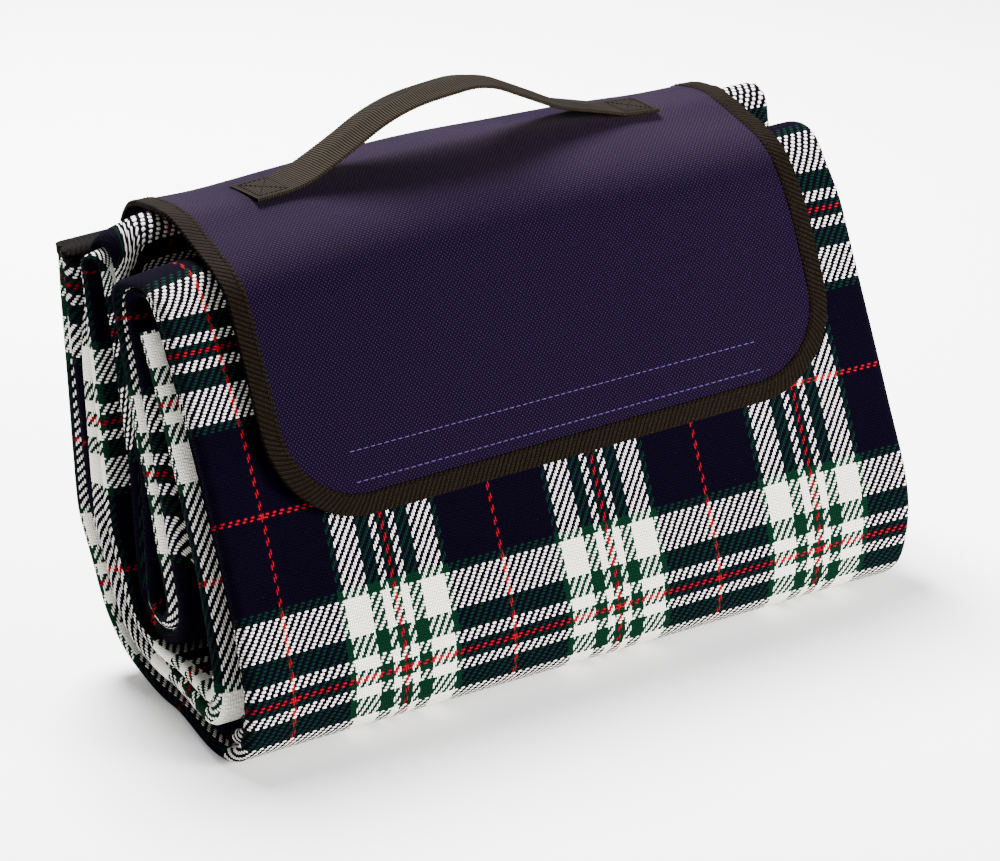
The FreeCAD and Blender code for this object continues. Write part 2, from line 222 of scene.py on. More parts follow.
def grid_faces(rows, columns, start=0, wrap_columns=False):
    column = np.arange(columns if wrap_columns else columns - 1)
    r, c = np.meshgrid(np.arange(rows - 1), column, indexing="ij")
    here = r * columns
    below = here + columns
    beside = (c + 1) % columns
    quads = np.stack([here + c, here + beside, below + beside, below + c], axis=-1)
    return quads.reshape(-1, 4) + start


def grid_piece(name, points, cloth, material):
    rows, columns = points.shape[:2]
    return add_mesh(name, points.reshape(-1, 3), grid_faces(rows, columns), material, cloth.reshape(-1, 3))


def flat_coordinates(a, b):
    a, b = np.broadcast_arrays(a, b)
    return np.stack([a, b, np.zeros_like(a)], axis=-1)


class Bundle:
    """Several small closed solids gathered into one piece."""

    def __init__(self):
        self.verts = []
        self.faces = []
        self.cloth = []
        self.count = 0

    def thread(self, path, radius, up, sides=6):
        """A thread along a short path, with tapered ends."""
        path = np.asarray(path)
        heading = np.gradient(path, axis=0)
        heading /= np.linalg.norm(heading, axis=1)[:, None]
        up = np.broadcast_to(np.asarray(up, dtype=float), path.shape)
        side = np.cross(heading, up)
        side /= np.linalg.norm(side, axis=1)[:, None]
        lift = np.cross(side, heading)
        swell = np.full(len(path), 1.0)
        swell[0] = 0.45
        swell[-1] = 0.45
        angles = np.arange(sides) * 2.0 * math.pi / sides
        ring = (np.cos(angles)[None, :, None] * side[:, None, :]
                + np.sin(angles)[None, :, None] * lift[:, None, :])
        points = path[:, None, :] + ring * (radius * swell)[:, None, None]
        start = self.count
        rows = len(path)
        self.verts.append(points.reshape(-1, 3))
        self.faces += grid_faces(rows, sides, start, wrap_columns=True).tolist()
        self.faces.append([start + corner for corner in range(sides)][::-1])
        self.faces.append([start + (rows - 1) * sides + corner for corner in range(sides)])
        run = np.linspace(0.0, 1.0, rows)
        self.cloth.append(flat_coordinates(run[:, None], (angles / (2.0 * math.pi))[None, :]).reshape(-1, 3))
        self.count += rows * sides

    def piece(self, name, material):
        return add_mesh(name, np.concatenate(self.verts), self.faces, material, np.concatenate(self.cloth))


# ---------------------------------------------------------------- materials

WHITE = (0.80, 0.78, 0.71, 1.0)


class Nodes:
    """Short names for building a node tree."""

    def __init__(self, name, roughness, sheen=0.0, sheen_tint=(1.0, 1.0, 1.0, 1.0), specular=0.3):
        self.material = bpy.data.materials.new(name)
        self.material.use_nodes = True
        self.tree = self.material.node_tree
        self.shader = self.tree.nodes["Principled BSDF"]
        self.shader.inputs["Roughness"].default_value = roughness
        self.shader.inputs["Sheen Weight"].default_value = sheen
        self.shader.inputs["Sheen Roughness"].default_value = 0.45
        self.shader.inputs["Sheen Tint"].default_value = sheen_tint
        self.shader.inputs["Specular IOR Level"].default_value = specular

    def node(self, kind, **settings):
        node = self.tree.nodes.new(kind)
        for key, value in settings.items():
            setattr(node, key, value)
        return node

    def join(self, source, target):
        if isinstance(source, bpy.types.NodeSocket):
            self.tree.links.new(source, target)
        else:
            target.default_value = source

    def math(self, operation, *values):
        node = self.node("ShaderNodeMath", operation=operation)
        for index, value in enumerate(values):
            self.join(value, node.inputs[index])
        return node.outputs[0]

    def cloth(self):
        """The two coordinates laid along the cloth, in metres."""
        source = self.node("ShaderNodeAttribute", attribute_name="cloth")
        split = self.node("ShaderNodeSeparateXYZ")
        self.join(source.outputs["Vector"], split.inputs[0])
        return source.outputs["Vector"], split.outputs[0], split.outputs[1]

    def noise(self, vector, scale, detail=2.0, roughness=0.5):
        node = self.node("ShaderNodeTexNoise")
        node.inputs["Scale"].default_value = scale
        node.inputs["Detail"].default_value = detail
        node.inputs["Roughness"].default_value = roughness
        self.join(vector, node.inputs["Vector"])
        return node.outputs["Fac"]

    def mix(self, factor, first, second, blend="MIX"):
        node = self.node("ShaderNodeMix", data_type="RGBA", blend_type=blend)
        self.join(factor, node.inputs["Factor"])
        self.join(first, node.inputs[6])
        self.join(second, node.inputs[7])
        return node.outputs[2]

    def ramp(self, factor, stops, interpolation="LINEAR"):
        node = self.node("ShaderNodeValToRGB")
        ramp = node.color_ramp
        ramp.interpolation = interpolation
        while len(ramp.elements) > 1:
            ramp.elements.remove(ramp.elements[-1])
        ramp.elements[0].position = stops[0][0]
        ramp.elements[0].color = stops[0][1]
        for position, colour in stops[1:]:
            ramp.elements.new(position).color = colour
        self.join(factor, node.inputs[0])
        return node.outputs[0]

    def dome(self, value):
        """1 in the middle of each unit, 0 at its edges."""
        off = self.math("SUBTRACT", self.math("MULTIPLY", value, 2.0), 1.0)
        return self.math("SUBTRACT", 1.0, self.math("MULTIPLY", off, off))

    def finish(self, colour, height, relief, strength):
        """The material in this colour, with this height as a bump of this relief in metres."""
        self.join(colour, self.shader.inputs["Base Color"])
        bump = self.node("ShaderNodeBump")
        bump.inputs["Strength"].default_value = strength
        bump.inputs["Distance"].default_value = relief
        self.join(height, bump.inputs["Height"])
        self.join(bump.outputs[0], self.shader.inputs["Normal"])
        return self.material


# The tartan's stripes, counted in threads from the red line in the middle of a white group to the
# red line in the middle of the next navy block, where the order turns back.
NAVY = (0.0010, 0.0003, 0.0032, 1.0)
GREEN = (0.0008, 0.0125, 0.0060, 1.0)
RED = (0.17, 0.0012, 0.0050, 1.0)
STRIPES = [(1, RED), (2, GREEN), (4, WHITE), (7, GREEN), (13, WHITE), (3, GREEN), (29, NAVY), (1, RED)]
HALF_SETT = sum(count for count, colour in STRIPES)
COLUMN_PERIOD = 116.8 * MM
ROW_PERIOD = 161.5 * MM
WARP_PITCH = COLUMN_PERIOD / (2 * HALF_SETT)
WEFT_PITCH = ROW_PERIOD / (2 * HALF_SETT)


def tartan_material():
    """A 2/2 twill of striped warp and weft, with round yarns, arched floats, fuzz, and painted shade in the
    gaps between yarns.
    """
    n = Nodes("tartan_twill", 0.95, specular=0.015)
    vector, across, along = n.cloth()
    drift = n.math("SUBTRACT", n.noise(vector, 240.0, 2.0), 0.5)
    a = n.math("ADD", n.math("DIVIDE", across, WARP_PITCH), n.math("MULTIPLY", drift, 0.6))
    b = n.math("ADD", n.math("DIVIDE", along, WEFT_PITCH), n.math("MULTIPLY", drift, -0.6))
    warp = n.math("FLOOR", a)
    weft = n.math("FLOOR", b)
    stops = []
    counted = 0
    for count, colour in STRIPES:
        stops.append((counted / HALF_SETT, colour))
        counted += count
    colours = []
    for thread in (warp, weft):
        place = n.math("PINGPONG", n.math("ADD", thread, 0.5), float(HALF_SETT))
        colours.append(n.ramp(n.math("DIVIDE", place, float(HALF_SETT)), stops, "CONSTANT"))
    step = n.math("FLOORED_MODULO", n.math("SUBTRACT", warp, weft), 4.0)
    warp_up = n.math("LESS_THAN", step, 1.5)
    warp_run = n.math("FLOORED_MODULO", n.math("ADD", n.math("SUBTRACT", warp, b), 1.0), 4.0)
    weft_run = n.math("SUBTRACT", n.math("FLOORED_MODULO", n.math("SUBTRACT", a, weft), 4.0), 2.0)
    heights = []
    for position, run in ((a, warp_run), (b, weft_run)):
        round_yarn = n.dome(n.math("FRACT", position))
        float_arch = n.dome(n.math("MULTIPLY", run, 0.5))
        heights.append(n.math("MULTIPLY", round_yarn, n.math("MULTIPLY_ADD", float_arch, 0.5, 0.5)))
    shift = n.math("SUBTRACT", heights[0], heights[1])
    height = n.math("MAXIMUM", n.math("MULTIPLY_ADD", shift, warp_up, heights[1]), 0.0)
    fuzz = n.noise(vector, 2400.0, 2.0, 0.6)
    upper = n.mix(warp_up, colours[1], colours[0])
    lower = n.mix(warp_up, colours[0], colours[1])
    # Painted shade in the gaps between yarns: the lower yarn's colour is darkened, and the darker of it and
    # the raised yarn's colour shows where the raised yarn is low.
    painted_gap_shade = n.mix(1.0, lower, (0.72, 0.70, 0.66, 1.0), "MULTIPLY")
    gap = n.mix(1.0, upper, painted_gap_shade, "DARKEN")
    seen = n.node("ShaderNodeMapRange", interpolation_type="SMOOTHSTEP")
    n.join(n.math("MULTIPLY_ADD", n.math("SUBTRACT", fuzz, 0.5), 0.5, height), seen.inputs["Value"])
    seen.inputs["From Min"].default_value = 0.30
    seen.inputs["From Max"].default_value = 0.68
    weave = n.mix(seen.outputs[0], gap, upper)
    worn = n.noise(vector, 22.0, 3.0)
    shade = n.math("MULTIPLY_ADD", fuzz, 0.34, 0.80)
    shade = n.math("MULTIPLY", shade, n.math("MULTIPLY_ADD", worn, 0.16, 0.92))
    grey = n.node("ShaderNodeCombineColor")
    for channel in range(3):
        n.join(shade, grey.inputs[channel])
    colour = n.mix(1.0, weave, grey.outputs[0], "MULTIPLY")
    relief = n.math("ADD", height, n.math("MULTIPLY", fuzz, 0.35))
    return n.finish(colour, relief, 0.5 * MM, 0.8)


def oxford_material(name, ground, crown_highlight, pitch, sheen):
    """Plain weave of fine yarns, with a painted highlight on the crown of each raised yarn."""
    n = Nodes(name, 0.85, sheen=sheen, sheen_tint=(1.0, 0.80, 0.80, 1.0), specular=0.015)
    vector, across, along = n.cloth()
    drift = n.math("SUBTRACT", n.noise(vector, 420.0, 2.0), 0.5)
    a = n.math("ADD", n.math("DIVIDE", across, pitch), n.math("MULTIPLY", drift, 0.5))
    b = n.math("ADD", n.math("DIVIDE", along, pitch * 1.08), n.math("MULTIPLY", drift, 0.5))
    cells = n.math("ADD", n.math("FLOOR", a), n.math("FLOOR", b))
    over = n.math("FLOORED_MODULO", cells, 2.0)
    bead = n.math("MULTIPLY", n.dome(n.math("FRACT", a)), n.dome(n.math("FRACT", b)))
    height = n.math("MULTIPLY", bead, n.math("MULTIPLY_ADD", over, 0.65, 0.35))
    grain = n.noise(vector, 1500.0, 2.0)
    # Painted highlight: the highlight colour lights the crown of each raised yarn, by its height.
    light = n.math("MULTIPLY", n.math("POWER", height, 2.0), n.math("MULTIPLY_ADD", grain, 1.1, 0.25))
    colour = n.mix(light, ground, crown_highlight)
    return n.finish(colour, height, 0.25 * MM, 0.7)


RIB_PITCH = 1.25 * MM
WEBBING_BEAD = 0.9 * MM


def webbing_material():
    """Ribs across the webbing, each of a row of small raised beads, with a painted beige highlight on each
    bead's crown.
    """
    n = Nodes("ribbed_webbing", 0.8, specular=0.03)
    vector, along, across = n.cloth()
    rib = n.dome(n.math("FRACT", n.math("DIVIDE", along, RIB_PITCH)))
    jitter = n.noise(vector, 900.0, 1.0)
    bead_place = n.math("ADD", n.math("DIVIDE", across, WEBBING_BEAD), n.math("MULTIPLY", jitter, 0.4))
    bead = n.dome(n.math("FRACT", bead_place))
    height = n.math("MULTIPLY", rib, n.math("MULTIPLY_ADD", bead, 0.5, 0.5))
    grain = n.noise(vector, 1100.0, 2.0)
    # Painted highlight: beige on the crowns of the beads, by their height.
    light = n.math("MULTIPLY", n.math("POWER", height, 2.2), n.math("MULTIPLY_ADD", grain, 0.9, 0.1))
    colour = n.mix(light, (0.0007, 0.0003, 0.0002, 1.0), (0.050, 0.034, 0.018, 1.0))
    return n.finish(colour, height, 0.35 * MM, 0.8)


TAPE_RIB = 2.6 * MM
TAPE_STRAND = 0.87 * MM
TAPE_BEAD = 0.75 * MM


def binding_material(name, strand_highlight):
    """Twill tape: slanting ribs of three strands each, with painted highlights as light flecks on the
    strands' crowns.
    """
    n = Nodes(name, 0.8, specular=0.02)
    vector, along, across = n.cloth()
    slant = n.math("ADD", along, n.math("MULTIPLY", across, 0.65))
    cross_slant = n.math("SUBTRACT", across, n.math("MULTIPLY", along, 0.3))
    rib = n.dome(n.math("FRACT", n.math("DIVIDE", slant, TAPE_RIB)))
    strand = n.dome(n.math("FRACT", n.math("DIVIDE", slant, TAPE_STRAND)))
    bead = n.dome(n.math("FRACT", n.math("DIVIDE", cross_slant, TAPE_BEAD)))
    fine = n.math("MULTIPLY", strand, n.math("MULTIPLY_ADD", bead, 0.6, 0.4))
    height = n.math("MULTIPLY", rib, n.math("MULTIPLY_ADD", fine, 0.45, 0.55))
    grain = n.noise(vector, 1000.0, 2.0)
    # Painted highlight: light flecks on the crowns of the strands and ribs.
    highlight_flecks = n.math("MULTIPLY", n.math("POWER", fine, 3.0), n.math("POWER", rib, 1.5))
    light = n.math("MULTIPLY", highlight_flecks, n.math("MULTIPLY_ADD", grain, 1.7, -0.25))
    colour = n.mix(light, (0.0004, 0.0002, 0.0001, 1.0), strand_highlight)
    return n.finish(colour, height, 0.35 * MM, 0.9)


def plain_material(name, dark, light, scale, roughness, sheen=0.0, specular=0.3):
    """Fine cloth, film or thread with a soft mottled tone and a fine grain."""
    n = Nodes(name, roughness, sheen=sheen, specular=specular)
    place = n.node("ShaderNodeTexCoord").outputs["Object"]
    tone = n.noise(place, scale, 3.0, 0.6)
    return n.finish(n.mix(tone, dark, light), n.noise(place, scale * 3.0, 2.0), 0.15 * MM, 0.6)


# ---------------------------------------------------------------- camera, floor and light

SCENE = bpy.context.scene
CAMERA_PLACE = (-0.7889, -1.1717, 0.6363)
CAMERA_HEADING = math.radians(34.0)
CAMERA_DIP = math.radians(21.193)
CAMERA_LENS = 114.4
FLOOR_HALF = 12.0


def add_light(name, place, aim, size, power):
    light = bpy.data.lights.new(name, "AREA")
    light.shape = "DISK"
    light.size = size
    light.energy = power
    lamp = bpy.data.objects.new(name, light)
    lamp.location = place
    direction = Vector(aim) - Vector(place)
    lamp.rotation_euler = direction.to_track_quat("-Z", "Y").to_euler()
    SCENE.collection.objects.link(lamp)


def build_camera():
    data = bpy.data.cameras.new("camera")
    data.sensor_width = 36.0
    data.lens = CAMERA_LENS
    data.clip_start = 0.05
    data.clip_end = 50.0
    camera = bpy.data.objects.new("camera", data)
    camera.location = CAMERA_PLACE
    camera.rotation_euler = (math.pi / 2.0 - CAMERA_DIP, 0.0, -CAMERA_HEADING)
    SCENE.collection.objects.link(camera)
    SCENE.camera = camera


def build_floor():
    corners = [(-FLOOR_HALF, -FLOOR_HALF, 0.0), (FLOOR_HALF, -FLOOR_HALF, 0.0),
               (FLOOR_HALF, FLOOR_HALF, 0.0), (-FLOOR_HALF, FLOOR_HALF, 0.0)]
    paint = bpy.data.materials.new("floor_white")
    paint.use_nodes = True
    shader = paint.node_tree.nodes["Principled BSDF"]
    shader.inputs["Base Color"].default_value = (0.93, 0.93, 0.93, 1.0)
    shader.inputs["Roughness"].default_value = 0.9
    shader.inputs["Emission Color"].default_value = (1.0, 1.0, 1.0, 1.0)
    shader.inputs["Emission Strength"].default_value = 0.20
    add_mesh("studio_floor", corners, [(0, 1, 2, 3)], paint)


def build_light():
    """A white surround, a soft key from above the back, and a low fill from the front right."""
    world = bpy.data.worlds.new("studio")
    world.use_nodes = True
    background = world.node_tree.nodes["Background"]
    background.inputs["Color"].default_value = (1.0, 1.0, 1.0, 1.0)
    background.inputs["Strength"].default_value = 0.36
    SCENE.world = world
    add_light("key", place=(0.16, 1.00, 1.58), aim=(0.0, 0.0, 0.05), size=0.7, power=268.0)
    add_light("front_fill", place=(1.3, -1.9, 0.6), aim=(0.0, 0.0, 0.1), size=1.2, power=248.0)


build_camera()
build_floor()
build_light()

# ---------------------------------------------------------------- the folded blanket

# A pack layer is the blanket folded in four: half of its thickness, and half of the gap in its middle.
HALF_PLY = 6.1 * MM
INNER_PLY = 0.1 * MM
# The blanket's two side edges meet here, inside the right end.
HEM_EDGE = 183.0 * MM
SWELL_MOST = 8.9 * MM
# The tartan's rows and the loop tape are placed from here, a point on the route up the front.
FRONT_MARK = (26.6, 97.0)


def table(*pairs):
    """A value that changes smoothly along the route, from (place, value) pairs in millimetres."""
    places = np.array([place for place, value in pairs]) * MM
    values = np.array([value for place, value in pairs]) * MM
    reach = 12
    fine = np.linspace(0.0, fold.length, 700)
    level = np.interp(fine, places, values)
    blur = np.exp(-0.5 * (np.arange(-reach, reach + 1) / 5.0) ** 2)
    level = np.convolve(np.pad(level, reach, mode="edge"), blur / blur.sum(), mode="valid")
    return lambda v: np.interp(v, fine, level)


# Where the two left-hand folds of each pack layer end, and what depth parts them.
OUTER_FOLD_END = table((0, -188), (145, -190), (290, -188), (330, -184), (400, -182.5), (518, -182),
                       (550, -186), (720, -187), (800, -180), (890, -178), (930, -178), (985, -188),
                       (1100, -191), (1207, -190), (1260, -187), (1380, -185))
INNER_FOLD_END = table((0, -190), (145, -188), (290, -183), (330, -180), (518, -180), (550, -184),
                       (720, -186), (800, -181), (900, -181), (930, -187), (1100, -189), (1207, -189),
                       (1240, -182), (1380, -177))
FOLD_PARTING = table((0, 0.5), (300, 0.0), (560, 0.0), (925, 0.0), (1150, -1.0), (1240, -4.0), (1380, -4.0))
# How far the stripes have slipped towards the right, and along the route.  The TOP tables are what the
# top has besides, away from the left end.
COLUMN_SLIP = table((0, 0), (330, 0), (370, 0.5), (420, 1.0), (480, 0.5), (530, -1), (600, 1), (1000, 6),
                    (1150, 6), (1220, 18), (1380, 18))
TOP_COLUMN_SLIP = table((0, 0), (820, 0), (870, 6), (935, 6), (990, 0), (1380, 0))
WHOLE_SLIP = table((0, 0), (330, 0), (400, 1.6), (1380, 1.6))
ROW_SLIP = table((0, -24), (150, -24), (290, -17), (311, -12), (326, -4.8), (357, -0.6), (400, 0), (530, 0),
                 (580, 10), (700, 10), (860, -57), (1150, -57), (1230, -50), (1380, -50))
TOP_SLIP = table((0, 0), (590, 0), (700, -29), (935, -29), (990, 0), (1380, 0))


def side_room():
    """How far the cloth may swell on each side of the route: half way to its neighbours, to the floor,
    and nearly to the centre of its own bend, evened out along the route."""
    step = 4
    bend_apart = 45.0 * MM
    clearance = 0.15 * MM
    bend_share = 0.93
    points = fold.line[::step]
    normals = fold.normal[::step]
    headings = fold.heading[::step]
    along = fold.along[::step]
    gap = points[None, :, :] - points[:, None, :]
    reach = np.linalg.norm(gap, axis=2)
    across = np.einsum("ijk,ik->ij", gap, normals)
    ahead = np.abs(np.einsum("ijk,ik->ij", gap, headings))
    other = (np.abs(along[:, None] - along[None, :]) > bend_apart) & (ahead < 0.5 * np.abs(across) + 1e-6)
    turn = np.gradient(np.unwrap(np.arctan2(headings[:, 1], headings[:, 0])), along)
    span = 6
    rooms = []
    for side in (1.0, -1.0):
        facing = other & (across * side > 0.0)
        room = np.where(facing, reach, 1.0).min(axis=1) / 2.0 - clearance
        down = -normals[:, 1] * side
        floor = np.where(down > 0.3, points[:, 1] / np.maximum(down, 0.3), 1.0)
        bend = np.where(turn * side > 1e-3, bend_share / np.maximum(turn * side, 1e-3), 1.0)
        room = np.minimum(np.minimum(room, floor), np.minimum(bend, SWELL_MOST))
        room = np.pad(np.maximum(room, HALF_PLY), span, mode="edge")
        room = np.min([room[shift:shift + len(along)] for shift in range(2 * span + 1)], axis=0)
        room = np.pad(room, span, mode="edge")
        rooms.append(np.mean([room[shift:shift + len(along)] for shift in range(2 * span + 1)], axis=0))
    return along, rooms


ROOM_ALONG, (ROOM_OUT, ROOM_IN) = side_room()


def room_beside(v, side):
    return np.interp(v, ROOM_ALONG, ROOM_OUT if side > 0 else ROOM_IN)


def end_share(x):
    """0 where the layers are pressed flat, and 1 at their plump ends."""
    return smooth(-0.147, -0.181, x) + 0.45 * smooth(0.158, 0.184, x)


def waves(x, v):
    """Soft unevenness of thick folded cloth."""
    slow = 0.55 * MM * ripple(1, x, v, 0.16)
    creases = 0.30 * MM * ripple(5, x * 0.5, v, 0.035) * smooth(-0.11, -0.18, x)
    return slow + creases


def pack_surface(x, depth, v):
    """A place in the folded cloth: depth is the distance from the middle of the pack layer."""
    x, depth, v = np.broadcast_arrays(x, depth, v)
    room = np.where(depth >= 0.0, room_beside(v, 1), room_beside(v, -1))
    share = end_share(x)
    middle = np.maximum(1.0 - np.abs(depth) / HALF_PLY, 0.0) * FOLD_PARTING(v) * smooth(-0.10, -0.181, x)
    y, z, normal_y, normal_z = fold.at(v)
    depth = depth * (1.0 + (room / HALF_PLY - 1.0) * share) + middle + waves(x, v) * smooth(0.010, 0.03, z)
    return to_space(x, y + normal_y * depth, z + normal_z * depth)


def run_columns(start, end, step):
    return np.linspace(start, end, max(2, int(abs(end - start) / step) + 1))


def cloth_rows(v, inset):
    """Across the cloth at each v, inset from its tartan face: x, depth and distance across the flat cloth.
    It runs from one side edge to the left end and back to the right end, and then the same way again to
    the other side edge."""
    middle = (HALF_PLY + INNER_PLY) / 2.0
    parting = FOLD_PARTING(v)
    outer_radius = (room_beside(v, 1) - parting) / 2.0
    inner_radius = (room_beside(v, -1) + parting) / 2.0
    outer_x = OUTER_FOLD_END(v) + outer_radius
    inner_x = INNER_FOLD_END(v) + inner_radius
    fold_radius = (HALF_PLY - INNER_PLY) / 2.0 - inset
    back_x = HALF_LENGTH - HALF_PLY
    back_radius = HALF_PLY - inset
    fine = np.concatenate([np.linspace(0.0, 0.04, 9), np.linspace(0.05, 0.85, 32),
                           np.linspace(0.86, 1.0, 20)])[None, :]
    turn = (np.linspace(-0.5, 0.5, 17)[1:-1] * math.pi)[None, :]
    quarter = math.pi / 2.0
    full = 2.0 * HALF_LENGTH
    parts = []
    x = HEM_EDGE + (outer_x - HEM_EDGE) * fine
    parts.append((x, INNER_PLY + inset, 2.0 * outer_x - math.pi * outer_radius - x))
    x = outer_x - (outer_radius - inset) * np.cos(turn)
    parts.append((x, middle + fold_radius * np.sin(turn), outer_x - outer_radius * (quarter - turn)))
    x = outer_x + (back_x - outer_x) * (1.0 - fine[:, ::-1])
    parts.append((x, HALF_PLY - inset, x))
    x = back_x + back_radius * np.cos(turn)
    parts.append((x, -back_radius * np.sin(turn), HALF_LENGTH + turn / math.pi * 2.0 * HALF_PLY))
    x = back_x + (inner_x - back_x) * fine
    parts.append((x, inset - HALF_PLY, full - x))
    x = inner_x - (inner_radius - inset) * np.cos(turn)
    parts.append((x, fold_radius * np.sin(turn) - middle, full - inner_x + inner_radius * (quarter + turn)))
    x = inner_x + (HEM_EDGE - inner_x) * (1.0 - fine[:, ::-1])
    parts.append((x, -INNER_PLY - inset, full - 2.0 * inner_x + math.pi * inner_radius + x))
    whole = [np.broadcast_arrays(*part, v)[:3] for part in parts]
    return [np.concatenate([part[index] for part in whole], axis=1) for index in range(3)]


COLUMN_START = 13.4 * MM
ROW_START = fold.nearest(FRONT_MARK) - ROW_PERIOD / 2.0
END_MARGIN = 2.0 * MM


def build_cloth(name, inset, rows, material):
    """One layer of the blanket, as a single sheet folded in four and rolled along the route."""
    v = np.linspace(END_MARGIN, fold.length - END_MARGIN, rows)[:, None]
    x, depth, across = cloth_rows(v, inset)
    points = pack_surface(x, depth, v)
    off_end = smooth(-0.184, -0.162, x)
    slip = COLUMN_SLIP(v) * smooth(-0.02, -0.15, x) + TOP_COLUMN_SLIP(v) * off_end * smooth(0.05, -0.10, x)
    slip = (slip + WHOLE_SLIP(v)) * np.where(depth > 0.0, 1.0, -1.0)
    row_slip = ROW_SLIP(v) + TOP_SLIP(v) * off_end
    cloth = flat_coordinates(across - slip - COLUMN_START, v - ROW_START + row_slip)
    piece = grid_piece(name, points, cloth, material)
    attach(piece, "blanket")
    return piece


tartan = build_cloth("tartan_sheet", 0.0, 520, tartan_material())
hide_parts("tartan_cloth")

foam_fill = plain_material("white_foam", (0.55, 0.54, 0.5, 1.0), (0.72, 0.71, 0.67, 1.0), 900.0, 0.9)
foam = build_cloth("foam_sheet", 1.3 * MM, 300, foam_fill)
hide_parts("foam_interlayer")

backing_film = plain_material("coated_backing", (0.006, 0.006, 0.009, 1.0), (0.014, 0.013, 0.019, 1.0),
                              300.0, 0.35)
backing = build_cloth("backing_sheet", 2.6 * MM, 300, backing_film)
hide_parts("waterproof_backing")


def build_end_tape(material):
    """The tape folded over the blanket's cut edge, following its folds right round.  Each ring of it has a
    distance along the route and an inset from the tartan face, in millimetres."""
    rings = [(11.0, 0.0), (11.0, -0.45), (8.0, -0.5), (4.0, -0.5), (1.6, -0.45), (1.2, 0.2), (1.0, 1.3),
             (1.2, 2.6), (1.6, 3.0), (8.0, 3.0)]
    points = []
    flats = []
    around = 0.0
    before = rings[0]
    for v, inset in rings:
        x, depth, across = cloth_rows(np.array([[v * MM]]), inset * MM)
        points.append(pack_surface(x, depth, v * MM)[0])
        around += math.hypot(v - before[0], inset - before[1]) * MM
        before = (v, inset)
        flats.append(flat_coordinates(across[0], around))
    piece = grid_piece("end_hem_tape", np.stack(points), np.stack(flats), material)
    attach(piece, "blanket")
    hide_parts("end_hem_binding")


# The hem tapes take a darker copy of the binding twill, with dimmer flecks: painted shade, for hems that lie
# in shade.
shaded_hem_finish = binding_material("hem_twill_shaded", (0.010, 0.006, 0.004, 1.0))
build_end_tape(shaded_hem_finish)


def build_side_hems(material):
    """Narrow tapes folded over the blanket's two side edges, which meet inside the right end."""
    v = np.linspace(END_MARGIN, fold.length - END_MARGIN, 320)
    around = np.linspace(-0.5, 0.5, 7) * math.pi
    bundle_points = []
    inner_edge = HEM_EDGE - 9.0 * MM
    for side in (1.0, -1.0):
        x = np.concatenate([[inner_edge], HEM_EDGE + 0.5 * MM * np.cos(around), [inner_edge]])
        depth = np.concatenate([[0.05 * MM], 1.5 * MM + 1.45 * MM * np.sin(around), [2.95 * MM]]) * side
        bundle_points.append(pack_surface(x[None, :], depth[None, :], v[:, None]))
    columns = bundle_points[0].shape[1]
    verts = np.concatenate([points.reshape(-1, 3) for points in bundle_points])
    faces = grid_faces(len(v), columns).tolist() + grid_faces(len(v), columns, len(v) * columns).tolist()
    cloth = flat_coordinates(v[:, None], np.arange(columns)[None, :] * MM).reshape(-1, 3)
    piece = add_mesh("side_hem_tape", verts, faces, material, np.concatenate([cloth, cloth]))
    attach(piece, "blanket")
    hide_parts("side_hem_binding")


build_side_hems(shaded_hem_finish)

# ---------------------------------------------------------------- the flap

FLAP_MIDDLE = 2.0 * MM
FLAP_HALF = 156.0 * MM
FLAP_CORNER = 48.0 * MM
FLAP_THICK = 1.2 * MM
BINDING = 0.6 * MM
# The flap is fastened a little askew, turned in its own plane about this x.
FLAP_TURN = 0.028
FLAP_TURN_X = 50.0 * MM


def flap_surface(x, w, height):
    """A place on the flap: w runs from its rear edge, and height is outward from its inner face."""
    x, w, height = np.broadcast_arrays(x, w, height)
    free = smooth(0.60, 1.0, w / flap.length)
    lift = 0.5 * MM * (1.0 + ripple(2, x, w, 0.15)) + 0.9 * MM * free * (1.0 + ripple(6, x, 0.4, 0.19))
    edge = smooth(0.115, 0.156, np.abs(x - FLAP_MIDDLE))
    w = w + FLAP_TURN * (FLAP_TURN_X - x) * smooth(0.35, 0.95, w / flap.length)
    y, z, normal_y, normal_z = flap.at(w)
    lift = lift + edge * 0.6 * MM * ripple(9, w, 0.0, 0.09)
    out = height + lift
    return to_space(x, y - normal_y * out, z - normal_z * out)


def half_width(w, inset=0.0):
    """Half of the flap's width at w, with its two round corners, this far inside its edge."""
    corner = FLAP_CORNER - inset
    over = np.clip(w - (flap.length - FLAP_CORNER), 0.0, corner)
    return FLAP_HALF - FLAP_CORNER + np.sqrt(np.maximum(corner * corner - over * over, 0.0))


def flap_rows(inset):
    start = 1.0 * MM
    turn = np.linspace(0.0, 0.5, 26) * math.pi
    straight = run_columns(start, flap.length - FLAP_CORNER, 2.5 * MM)
    return np.concatenate([straight[:-1], flap.length - FLAP_CORNER + (FLAP_CORNER - inset) * np.sin(turn)])


def build_flap_layer(name, height, inset, material):
    w = flap_rows(inset)[:, None]
    across = np.linspace(-1.0, 1.0, 131)[None, :]
    x = FLAP_MIDDLE + across * half_width(w, inset)
    piece = grid_piece(name, flap_surface(x, w, height), flat_coordinates(x, w), material)
    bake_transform(piece)
    return piece


FLAP_INSET = 0.8 * MM
# The second colour is a painted highlight on the crowns of the flap's yarns.
flap_cloth = oxford_material("flap_oxford", (0.0009, 0.0002, 0.0024, 1.0), (0.020, 0.0070, 0.042, 1.0),
                             1.0 * MM, 0.03)
flap_panel = build_flap_layer("flap_panel", FLAP_THICK, FLAP_INSET, flap_cloth)
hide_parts("flap_outer_top", "flap_outer_front")

lining_cloth = plain_material("flap_lining", (0.010, 0.007, 0.020, 1.0), (0.022, 0.016, 0.038, 1.0),
                              700.0, 0.6)
flap_lining = build_flap_layer("flap_lining_sheet", 0.3 * MM, FLAP_INSET, lining_cloth)
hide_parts("flap_lining_top", "flap_lining_front")


